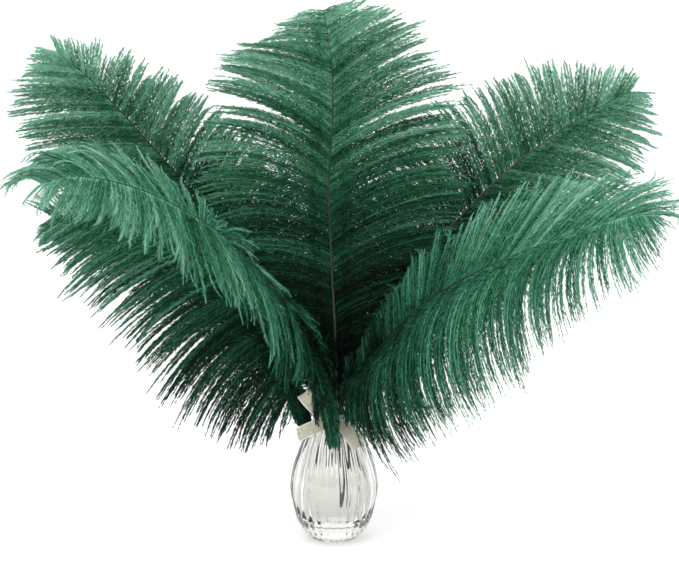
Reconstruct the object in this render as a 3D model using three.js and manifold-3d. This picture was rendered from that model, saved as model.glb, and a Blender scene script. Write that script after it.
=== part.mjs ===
// Six ostrich plumes standing in a small ribbed glass bud vase, with a satin ribbon bow at its neck.
// Millimetres. +Z is up, -Y faces the viewer, the origin is the centre of the vase's base on the floor.
import * as THREE from "three";
import Module from "manifold-3d";

// Vase: outer radius and height, from the foot up to the lip, then the inner wall back down.
const VASE_OUTER = [[16, 0], [20, 2], [23.4, 6], [27.2, 12], [30.2, 19], [32.4, 29], [34.2, 38], [34.2, 46],
  [32.2, 58], [28.7, 69], [24.2, 82], [17.8, 93], [15.4, 97], [15.9, 101.5], [18.5, 105.5]];
const VASE_INNER = [[17, 106.1], [14, 102.5], [13, 98], [15.4, 92.5], [21.9, 81], [26.3, 68.5], [29.8, 57],
  [31.9, 43], [30, 29], [26, 19.5], [19, 13]];
const FLOOR_Z = 11.5;   // thick glass under the middle of the well
const RIBS = 18;        // upright flutes blown into the outer wall
const RIB_DEPTH = 0.55;

// Ribbon: 11 mm satin, tied once round the neck, with two loops and two cut tails.
const RIBBON_WIDTH = 11;
const RIBBON_THICKNESS = 0.6;
const BAND_Z = [94.1, 97.3, 100.5]; // the band gathers into the waist of the neck
const BAND_GAP = 0.35;

// Plumes: quill and rachis radii, vane thickness at the rachis and at the edge, lock layout.
const QUILL_RADIUS = 1.5;
const RACHIS_TIP_RADIUS = 0.45;
const VANE_HALF = [0.85, 0.4];
const LOCKS = 13;         // pointed locks along each side of a vane
const NOTCH = 0.62;       // how far the clefts between the locks reach in
const CLEARANCE = 0.35;   // free space between neighbouring pieces
const SLIVER = 0.03;      // finer slivers along cuts are dropped

// Each plume: rachis points from the cut quill end to the tip, bare quill length, and the way its vane
// faces. Each side then has lists from the vane's start to its tip: barb length, angle off the rachis
// and lift out of the vane's plane in degrees, and how much the barbs sweep back, droop and curl.
const PLUMES = {
  centre: {
    bare: 97,
    shaft: [[8.5, -20, 29.5], [7.5, -14, 43.5], [4.5, -5.5, 61.5], [0.8, 1.6, 79.5], [1.8, 5.8, 96.5],
      [1.6, 8, 112.5], [1, 8, 158.5], [-2, 9, 220.5], [-4, 13, 279.5], [-1, 20, 334.5],
      [-2, 28, 375.5], [-8, 36, 415.5]],
    faces: [[0, -1, 0.1], [0, -1, 0.24], [0, -1, 0.36]],
    left: [[40, 90, 114, 120, 112, 84, 22], [60, 60, 58, 55, 55, 60, 78], [10, 8, 4, 2, 0],
      [0.5, 0.6, 0.6, 0.5, 0.4, 0.4, 0.3], [0.3, 0.4, 0.4, 0.25, 0.15, 0.1, 0], [0, 0.05, 0.15]],
    right: [[40, 90, 118, 128, 116, 80, 22], [62, 60, 56, 53, 50, 52, 72], [0],
      [0.5, 0.5, 0.5, 0.5, 0.4, 0.25, 0.1], [0.15, 0.15, 0.15, 0.15, 0.1, 0.1, 0], [0, 0.05, 0.15]],
  },
  left_high: {
    bare: 70,
    shaft: [[14, 1, 52.5], [3, 1.9, 95.5], [-6.5, 9.5, 122.5], [-14, 13.5, 147.5], [-35, 18, 180.5],
      [-67, 24, 221.5], [-97, 29, 256.5], [-136, 34, 300.5], [-186, 40, 355.5], [-217, 44, 381.5]],
    faces: [[0, -1, 0.05], [0, -1, 0.11], [0, -1, 0.2]],
    left: [[36, 74, 98, 105, 100, 76, 20], [55, 52, 48, 46, 46, 42, 20], [0],
      [0.4, 0.4, 0.35, 0.25, 0.15, 0.1, 0], [0.3, 0.3, 0.25, 0.2, 0.15, 0.15, 0.1], [0, 0.05, 0.1]],
    right: [[30, 58, 74, 80, 64, 42, 16], [55, 58, 58, 58, 62, 60, 24], [-8, -12, -14, -6, 0],
      [0.4, 0.4, 0.4, 0.3, 0.2, 0.15, 0], [0.2, 0.2, 0.2, 0.15, 0.1, 0.1, 0], [0, 0.05, 0.1]],
  },
  right_high: {
    bare: 70,
    shaft: [[-10, 8, 52.5], [0, 9.2, 95.5], [9, 11, 121.5], [16, 13, 131.5], [30, 17, 152.5],
      [52, 28, 191.5], [91, 44, 240.5], [137, 62, 284.5], [195, 82, 324.5], [241, 93, 347.5]],
    faces: [[0, -1, 0.2], [0, -1, 0.38], [0, -1, 0.54]],
    left: [[30, 76, 96, 98, 86, 58, 18], [60, 60, 60, 60, 58, 56, 26], [-14, -14, -12, -6, 0],
      [0.4, 0.4, 0.4, 0.4, 0.3, 0.15, 0], [0.15, 0.15, 0.15, 0.1, 0.1, 0.1, 0], [0, 0.05, 0.1]],
    right: [[36, 78, 96, 98, 90, 68, 22], [50, 50, 48, 46, 46, 46, 26], [0],
      [0.4, 0.4, 0.35, 0.3, 0.2, 0.15, 0.1], [0.3, 0.3, 0.3, 0.25, 0.2, 0.2, 0.1], [0, 0.05, 0.1]],
  },
  left_low: {
    bare: 84,
    shaft: [[17, -1.5, 56.5], [4, -1.8, 93.5], [-3, -1.6, 104.5], [-13, -2, 113.5], [-27, -3, 122.5],
      [-40, -5, 140.5], [-52, -6, 163.5], [-64, -8, 189.5], [-80, -11, 217.5], [-107, -14, 241.5],
      [-141, -18, 256.5], [-180, -24, 264.5], [-212, -30, 261.5]],
    faces: [[0, -1, 0.1], [-0.05, -1, 0.2]],
    left: [[50, 74, 96, 96, 86, 56, 12], [98, 88, 84, 54, 34, 24, 12], [12, 8, 4, 0, -4, -8, 12],
      [0.5, 0.7, 0.5, 0.3, 0.3, 0.2, -0.3], [0.2, 0.3, 0.1, 0.3, 0.3, 0.2, 0.6],
      [-0.3, -0.2, -0.1, -0.1, -0.2, -0.2, -0.4]],
    right: [[28, 26, 26, 30, 36, 36, 28], [155, 145, 145, 140, 140, 140, 36],
      [90, 10, 8, 10, 16, 22, -4], [0, 0.3, 0.6, 0.2, -0.1, -0.1, 0.1],
      [0.7, 1.3, 0.7, 0.7, 0.5, 0.3, 0.3], [-0.2, 0.2, 0.3, 0, 0, 0, 0]],
  },
  left_front: {
    bare: 78,
    shaft: [[14, -7, 58.5], [2, -9.2, 97.5], [-8, -13, 135.5], [-22, -32, 173.5], [-42, -54, 208.5],
      [-66, -73, 237.5], [-92, -88, 264.5], [-138, -102, 291.5], [-182, -110, 302.5],
      [-209, -113, 297.5]],
    faces: [[-0.25, -1, 0.4], [-0.3, -0.6, 0.9], [-0.2, -0.4, 1]],
    left: [[50, 52, 70, 66, 60, 46, 18], [100, 108, 120, 116, 110, 100, 34],
      [80, 80, 42, 22, 2, -16, 0], [1.6, 0, 0, 0.7, 0.8, 0.2, -0.5],
      [-0.9, 0.5, 0.1, -0.4, -1.1, -1.9, -0.6], [-0.6, -0.8, -0.8, -0.9, -1.5, -2.1, -1.5]],
    right: [[28, 30, 34, 34, 38, 60, 36], [156, 152, 142, 136, 54, 50, 50],
      [-44, -60, -48, -28, -4, 24, 46], [0, 0.2, -1, -1.5, -0.8, -0.5, 0.4],
      [0, 0, 1.2, 2.1, 1, 1.9, 2.2], [0.6, 1.2, 1.3, 1.7, 1, 1.2, 0.9]],
  },
  right_front: {
    bare: 78,
    shaft: [[-10, -4, 58.5], [2, -5.5, 97.5], [12, -13, 131.5], [20, -18, 141.5], [38, -30, 164.5],
      [58, -45, 188.5], [77, -58, 206.5], [114, -78, 231.5], [166, -96, 256.5], [208, -106, 272.5],
      [231, -112, 275.5]],
    faces: [[0.25, -1, 0.4], [0.3, -0.9, 0.7], [0.2, -0.5, 1]],
    left: [[22, 34, 52, 74, 86, 76, 26], [38, 40, 42, 42, 38, 32, 14], [0], [0.1, 0.1, 0, 0, 0, 0, 0],
      [0, 0, 0, 0.1, 0.3, 0.5, 0.5], [0]],
    right: [[42, 98, 112, 110, 98, 66, 14], [100, 133, 133, 135, 139, 142, 36],
      [90, 78, 54, 34, 28, 6, -20], [-0.5, -1.2, -0.9, -0.8, -0.8, -0.7, 0],
      [1.1, 1.4, 0.8, 0.5, 0.5, 0.3, -0.9], [-1.2, -1.2, -1, -1, -1.2, -1.1, -1.6]],
  },
};

const wasm = await Module();
wasm.setup();

// A closed body from points and triangles, turned right side out.
function solid(points, triangles) {
  const make = (faces) => new wasm.Manifold(new wasm.Mesh({
    numProp: 3,
    vertProperties: new Float32Array(points.flat()),
    triVerts: new Uint32Array(faces.flat()),
  }));
  const body = make(triangles);
  return body.volume() > 0 ? body : make(triangles.map(([a, b, c]) => [a, c, b]));
}

// Catmull-Rom value at t (0 to 1) through evenly spaced numbers or vectors.
function blend(list, t) {
  const p = list.length > 1 ? list : [list[0], list[0]];
  const n = p.length - 1;
  const x = Math.min(Math.max(t, 0), 1) * n;
  const i = Math.min(Math.floor(x), n - 1);
  const w = x - i;
  const at = (k) => [].concat(p[k]);
  const b = at(i);
  const c = at(i + 1);
  const a = i > 0 ? at(i - 1) : b.map((v, k) => 2 * v - c[k]);
  const d = i < n - 1 ? at(i + 2) : c.map((v, k) => 2 * v - b[k]);
  const value = b.map((_, k) => 0.5 * (2 * b[k] + (c[k] - a[k]) * w
    + (2 * a[k] - 5 * b[k] + 4 * c[k] - d[k]) * w * w
    + (3 * b[k] - a[k] - 3 * c[k] + d[k]) * w * w * w));
  return value.length > 1 ? value : value[0];
}

// A closed skin over rings of equal size, with a flat cap on each end.
function loft(rings, closed = false) {
  const m = rings[0].length;
  const n = rings.length;
  const points = rings.flat();
  const triangles = [];
  for (let i = 0; i < (closed ? n : n - 1); i++) {
    for (let j = 0; j < m; j++) {
      const a = i * m + j;
      const b = i * m + (j + 1) % m;
      const c = ((i + 1) % n) * m + (j + 1) % m;
      const d = ((i + 1) % n) * m + j;
      triangles.push([a, b, c], [a, c, d]);
    }
  }
  if (!closed) {
    for (let j = 1; j < m - 1; j++) {
      triangles.push([0, j + 1, j], [(n - 1) * m, (n - 1) * m + j, (n - 1) * m + j + 1]);
    }
  }
  return solid(points, triangles);
}

// The vase: one closed lathe through foot, outer wall, lip, inner wall and floor.
function vase(grow = 0) {
  const around = RIBS * 2;
  const fade = (z) => Math.min(1, Math.max(0, (z - 5) / 12)) * Math.min(1, Math.max(0.1, (98 - z) / 14));
  const outer = VASE_OUTER.map(([r, z]) => ({ r: r + grow, z, depth: RIB_DEPTH * fade(z) }));
  const inner = VASE_INNER.map(([r, z]) => ({ r: r - grow, z: z + (z > 106 ? grow : 0), depth: 0 }));
  const ring = ({ r, z, depth }) => Array.from({ length: around }, (_, k) => {
    const a = (k * 2 * Math.PI) / around;
    const radius = r + (k % 2 ? -depth : depth);
    return [radius * Math.cos(a), radius * Math.sin(a), z];
  });
  const rings = [...outer, ...inner].map(ring);
  const points = [[0, 0, 0], ...rings.flat(), [0, 0, FLOOR_Z]];
  const n = rings.length;
  const triangles = [];
  for (let k = 0; k < around; k++) {
    const next = (k + 1) % around;
    triangles.push([0, 1 + next, 1 + k]);
    for (let i = 0; i < n - 1; i++) {
      const a = 1 + i * around;
      const b = a + around;
      triangles.push([a + k, a + next, b + next], [a + k, b + next, b + k]);
    }
    const last = 1 + (n - 1) * around;
    triangles.push([last + k, last + next, points.length - 1]);
  }
  return solid(points, triangles);
}

// A ribbon strip: points of its centre line, with the direction of its width at each.
function strip(path, thickness, width) {
  const rings = [];
  const steps = Math.round(1.5 * (path.length - 1));
  for (let i = 0; i <= steps; i++) {
    const t = i / steps;
    const p = new THREE.Vector3(...blend(path.map((q) => q.slice(0, 3)), t));
    const w = new THREE.Vector3(...blend(path.map((q) => q.slice(3, 6)), t)).normalize();
    const ahead = new THREE.Vector3(...blend(path.map((q) => q.slice(0, 3)), Math.min(1, t + 0.01)));
    const behind = new THREE.Vector3(...blend(path.map((q) => q.slice(0, 3)), Math.max(0, t - 0.01)));
    const n = ahead.sub(behind).normalize().cross(w).normalize();
    const size = width * blend(path.map((q) => q[6]), t);
    rings.push([[-1, -1], [1, -1], [1, 1], [-1, 1]].map(([a, b]) => p.clone()
      .addScaledVector(w, (a * size) / 2).addScaledVector(n, (b * thickness) / 2).toArray()));
  }
  return loft(rings);
}

// The bow. Rows are x, y, z of the centre line, then the width direction, then the share of full width.
const LOOP_LEFT = [[-4, -20.2, 101, 0.5, 0, 0.85, 0.5], [-11, -27, 108.5, 0.7, 0, 0.7, 0.8],
  [-18, -31, 117.5, 0.8, 0, 0.6, 1], [-23.5, -28.5, 124, 0.8, 0, 0.6, 1], [-19, -23.5, 119.5, 0.8, 0, 0.6, 1],
  [-11, -20.8, 110.5, 0.7, 0, 0.7, 0.8], [-3, -19.6, 101.5, 0.5, 0, 0.85, 0.5]];
const LOOP_UP = [[-6, -20.6, 101.5, 0.6, 0.8, 0, 0.5], [-11.5, -24.5, 110, 0.35, 0.9, 0.1, 0.8],
  [-14.5, -26.5, 121, 0.3, 0.95, 0, 0.9], [-12, -26.5, 128.5, 0.3, 0.95, 0, 0.9],
  [-9.8, -25, 121, 0.3, 0.95, 0, 0.9], [-6, -23, 111, 0.35, 0.9, 0.1, 0.8],
  [0, -20.6, 102, 0.6, 0.8, 0, 0.5]];
const TAIL_LEFT = [[-3, -20, 99, 0.2, 0, 1, 0.5], [-11, -23.5, 98, -0.1, 0.1, 1, 0.8],
  [-19, -25.5, 95, -0.3, 0.1, 1, 1], [-27, -26.5, 91, -0.4, 0.1, 1, 1]];
const TAIL_RIGHT = [[2, -20, 99, 1, 0, 0.3, 0.5], [7, -21, 96, 1, 0.2, 0.4, 0.8],
  [12.5, -23, 90, 1, 0.35, 0.5, 1], [18, -25, 82, 1, 0.5, 0.5, 1]];

function bow(grow = 0) {
  const around = 24;
  const thick = RIBBON_THICKNESS + 2 * grow;
  const width = RIBBON_WIDTH + 2 * grow;
  const radius = (z) => {
    const i = VASE_OUTER.findIndex((q) => q[1] >= z);
    const [[r0, z0], [r1, z1]] = [VASE_OUTER[i - 1], VASE_OUTER[i]];
    return r0 + ((r1 - r0) * (z - z0)) / (z1 - z0);
  };
  const rings = Array.from({ length: around }, (_, k) => {
    const a = (k * 2 * Math.PI) / around;
    const at = (r, z) => [r * Math.cos(a), r * Math.sin(a), z];
    const inner = BAND_Z.map((z) => at(radius(z) + BAND_GAP + 0.1 - grow, z));
    const outer = BAND_Z.map((z) => at(radius(z) + BAND_GAP + 0.1 + thick - grow, z));
    return [...inner, ...outer.reverse()];
  });
  const knot = wasm.Manifold.sphere(1, 8).scale([5.6 + grow, 3.2 + grow, 4.4 + grow])
    .translate([-1, -19.3, 99.7]);
  let body = loft(rings, true).add(knot);
  for (const path of [LOOP_LEFT, LOOP_UP, TAIL_LEFT, TAIL_RIGHT]) {
    body = body.add(strip(path, thick, width));
  }
  return body;
}

// One plume: a round tapering rachis carrying one thin vane sheet whose outer edges end in locks.
function plume(f, grow = 0) {
  const points = f.shaft.map((p) => new THREE.Vector3(...p));
  const curve = new THREE.CatmullRomCurve3(points, false, "catmullrom", 0.5);
  const length = curve.getLength();
  const frame = (s, face) => {
    const T = curve.getTangentAt(Math.min(1, s / length));
    const S = T.clone().cross(new THREE.Vector3(...face)).normalize();
    return { P: curve.getPointAt(Math.min(1, s / length)), T, S, N: S.clone().cross(T) };
  };
  const stations = 13;
  const rings = Array.from({ length: stations + 1 }, (_, i) => {
    const s = i === 0 ? 0 : i === 1 ? 7 : 7 + ((length - 7) * (i - 1)) / (stations - 1);
    const bare = Math.max(0, (s - f.bare) / (length - f.bare));
    const r = grow + (i === 0 ? 0.6 : QUILL_RADIUS + (RACHIS_TIP_RADIUS - QUILL_RADIUS) * bare ** 0.8);
    const { P, S, N } = frame(s, blend(f.faces, bare));
    return Array.from({ length: 6 }, (_, k) => {
      const a = (k * Math.PI) / 3;
      return P.clone().addScaledVector(S, r * Math.cos(a)).addScaledVector(N, r * Math.sin(a)).toArray();
    });
  });
  const barb = (t, u) => { // u from -1 at the left edge, through 0 on the rachis, to 1 at the right edge
    const { P, T, S, N } = frame(f.bare + (length - f.bare) * t, blend(f.faces, t));
    const side = u < 0 ? f.left : f.right;
    const [L, angle, lift, back, droop, curl] = side.map((list) => blend(list, t));
    const a = THREE.MathUtils.degToRad(angle);
    const l = THREE.MathUtils.degToRad(lift);
    const out = S.clone().multiplyScalar(Math.sign(u) * Math.cos(l)).addScaledVector(N, Math.sin(l));
    const v = Math.abs(u);
    return P.addScaledVector(T, L * v * Math.cos(a)).addScaledVector(out, L * v * Math.sin(a))
      .addScaledVector(T, -0.5 * L * v * v * back).addScaledVector(N, 0.5 * L * v * v * curl)
      .add(new THREE.Vector3(0, 0, -0.5 * L * v * v * droop));
  };
  const columns = [-1, -0.68, -0.32, 0, 0.32, 0.68, 1];
  const rows = 2 * LOCKS + 1;
  const top = [];
  const bottom = [];
  for (let i = 0; i < rows; i++) {
    const t = i / (rows - 1);
    const reach = i % 2 ? 1 : NOTCH;
    for (const c of columns) {
      const u = c * reach;
      const e = u < 0 ? -0.03 : 0.03;
      const t0 = Math.max(0, t - 0.02);
      const across = barb(t, u + e).sub(barb(t, Math.abs(u) < 0.05 ? 0 : u - e));
      const along = barb(Math.min(1, t0 + 0.04), u).sub(barb(t0, u));
      const n = across.cross(along).multiplyScalar(u < 0 ? -1 : 1).normalize();
      const p = barb(t, u);
      const h = VANE_HALF[0] + (VANE_HALF[1] - VANE_HALF[0]) * Math.abs(u) + grow;
      top.push(p.clone().addScaledVector(n, h).toArray());
      bottom.push(p.clone().addScaledVector(n, -h).toArray());
    }
  }
  const m = columns.length;
  const triangles = [];
  for (let i = 0; i < rows - 1; i++) {
    for (let j = 0; j < m - 1; j++) {
      const a = i * m + j;
      const q = [a, a + 1, a + m + 1, a + m];
      const b = q.map((k) => k + top.length);
      const turn = (i + (j < 3 ? 1 : 0)) % 2;
      const [e, f, g, h] = turn ? [0, 1, 2, 3] : [3, 0, 1, 2];
      triangles.push([q[e], q[f], q[h]], [q[f], q[g], q[h]], [b[e], b[h], b[f]], [b[f], b[h], b[g]]);
    }
  }
  const rim = [];
  for (let j = 0; j < m - 1; j++) rim.push(j);
  for (let i = 0; i < rows - 1; i++) rim.push(i * m + m - 1);
  for (let j = m - 1; j > 0; j--) rim.push((rows - 1) * m + j);
  for (let i = rows - 1; i > 0; i--) rim.push(i * m);
  rim.forEach((a, k) => {
    const b = rim[(k + 1) % rim.length];
    triangles.push([a, a + top.length, b + top.length], [a, b + top.length, b]);
  });
  return loft(rings).add(solid([...top, ...bottom], triangles));
}

// The largest connected body: what a cut has severed from it is dropped, and so are slivers along cuts.
function largest(body) {
  const shells = body.decompose().sort((a, b) => b.volume() - a.volume());
  return shells[0].asOriginal().simplify(SLIVER);
}

const group = new THREE.Group();
function add(name, body, look) {
  const mesh = body.getMesh();
  const geometry = new THREE.BufferGeometry();
  geometry.setAttribute("position", new THREE.BufferAttribute(new Float32Array(mesh.vertProperties), 3));
  geometry.setIndex(new THREE.BufferAttribute(new Uint32Array(mesh.triVerts), 1));
  geometry.computeVertexNormals();
  const node = new THREE.Mesh(geometry, new THREE.MeshStandardMaterial(look));
  node.name = name;
  group.add(node);
}

add("vase", vase(), { color: "#dfe6e6", roughness: 0.05, metalness: 0, transparent: true, opacity: 0.35 });
add("ribbon_bow", bow(), { color: "#c9c5b1", roughness: 0.35, metalness: 0 });

const COLORS = { centre: "#10221c", left_high: "#12261f", right_high: "#11241e", left_low: "#16322a",
  left_front: "#245544", right_front: "#225142" };
const solids = [vase(CLEARANCE), bow(CLEARANCE)];
for (const [name, f] of Object.entries(PLUMES)) {
  let body = plume(f);
  for (const other of solids) body = body.subtract(other);
  solids.push(plume(f, CLEARANCE));
  add(`plume_${name}`, largest(body), { color: COLORS[name], roughness: 0.8, metalness: 0 });
}

export default group;
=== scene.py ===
"""Dyed ostrich plumes in a small ribbed glass bud vase with a satin ribbon bow.

Metres in the scene, millimetres in the design values. +Z is up and -Y faces the viewer.
"""

import math
from collections import namedtuple

import bpy
import numpy as np
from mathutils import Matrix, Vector


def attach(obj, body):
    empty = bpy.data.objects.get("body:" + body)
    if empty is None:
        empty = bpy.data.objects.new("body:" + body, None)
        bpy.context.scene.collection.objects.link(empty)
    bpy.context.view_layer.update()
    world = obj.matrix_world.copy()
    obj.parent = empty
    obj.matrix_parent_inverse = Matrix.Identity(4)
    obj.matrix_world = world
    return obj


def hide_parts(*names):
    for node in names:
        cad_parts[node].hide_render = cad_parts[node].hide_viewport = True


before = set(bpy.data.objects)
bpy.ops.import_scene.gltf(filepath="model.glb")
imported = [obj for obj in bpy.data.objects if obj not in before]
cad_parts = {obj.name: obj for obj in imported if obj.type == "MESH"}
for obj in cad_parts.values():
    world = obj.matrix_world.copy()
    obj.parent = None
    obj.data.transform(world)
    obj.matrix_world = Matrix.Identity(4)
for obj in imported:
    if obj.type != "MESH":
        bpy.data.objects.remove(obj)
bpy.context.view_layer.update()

MM = 0.001

# ---------------------------------------------------------------- the view and the studio, in metres

IMAGE_WIDTH = 679
PIXEL = 0.78                 # millimetres per pixel at the vase's axis
VIEW_DISTANCE = 1500.0       # millimetres from the camera to the vase's axis
SENSOR_WIDTH = 36.0          # millimetres
CAMERA_PLACE = (0.0043, -1.4772, 0.4674)
CAMERA_TILT = 80             # degrees up from looking straight down

# Each softbox: its place, its size and its power. All are aimed at the foot of the plumes.
SOFTBOXES = {
    "overhead_softbox": ((-0.25, -0.35, 1.75), (1.5, 1.3), 20),
    "front_left_softbox": ((-1.3, -1.6, 0.95), (0.8, 1.1), 9),
    "front_right_softbox": ((1.4, -1.4, 0.8), (0.6, 1.0), 5),
}
SOFTBOX_AIM = (0, 0, 0.2)
# Light from all round, dim at floor level and white overhead.
SKY = [(0.0, "#8c8c8c"), (0.35, "#c4c4c4"), (1.0, "#ffffff")]
SKY_STRENGTH = 0.6

# The paper: where it starts in front, where it begins to bend up behind, the bend's radius, the
# height of its top, half its width, and the steps along it. It glows by distance from the vase.
PAPER_FRONT, PAPER_BEND, PAPER_RADIUS, PAPER_TOP, PAPER_HALF_WIDTH = -20.0, 2.7, 1.8, 5.3, 12.0
PAPER_STEPS = 160
PAPER_GLOW = {"From Min": 0.6, "From Max": 3.4, "To Min": 0.38, "To Max": 0.66}

# ---------------------------------------------------------------- design values, in millimetres

# The same lines as the solids have, with finer ribs, ribbon and rachis tips.
VASE_OUTER = [(16, 0), (20, 2), (23.4, 6), (27.2, 12), (30.2, 19), (32.4, 29), (34.2, 38), (34.2, 46),
              (32.2, 58), (28.7, 69), (24.2, 82), (17.8, 93), (15.4, 97), (15.9, 101.5), (18.5, 105.5)]
VASE_INNER = [(17, 106.1), (14, 102.5), (13, 98), (15.4, 92.5), (21.9, 81), (26.3, 68.5), (29.8, 57),
              (31.9, 43), (30, 29), (26, 19.5), (19, 13)]
WELL_FLOOR = 11.5
FOOT_RADIUS = 12.0           # flat middle of the foot, and of the well's floor
OUTER_RINGS, INNER_RINGS = 34, 28
RIBS = 28                    # the solids carry fewer and coarser ones
RIB_DEPTH = 0.42
STEPS_PER_RIB = 10

RIBBON_WIDTH = 11.0
RIBBON_THICKNESS = 0.3
BAND_MIDDLE, BAND_HALF = 97.3, 3.2   # the band gathers into the waist of the neck
BAND_GAP = 0.5
KNOT_CENTRE = (-1, -19.4, 99.7)

QUILL_RADIUS = 1.5
RACHIS_TIP_RADIUS = 0.35

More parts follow.
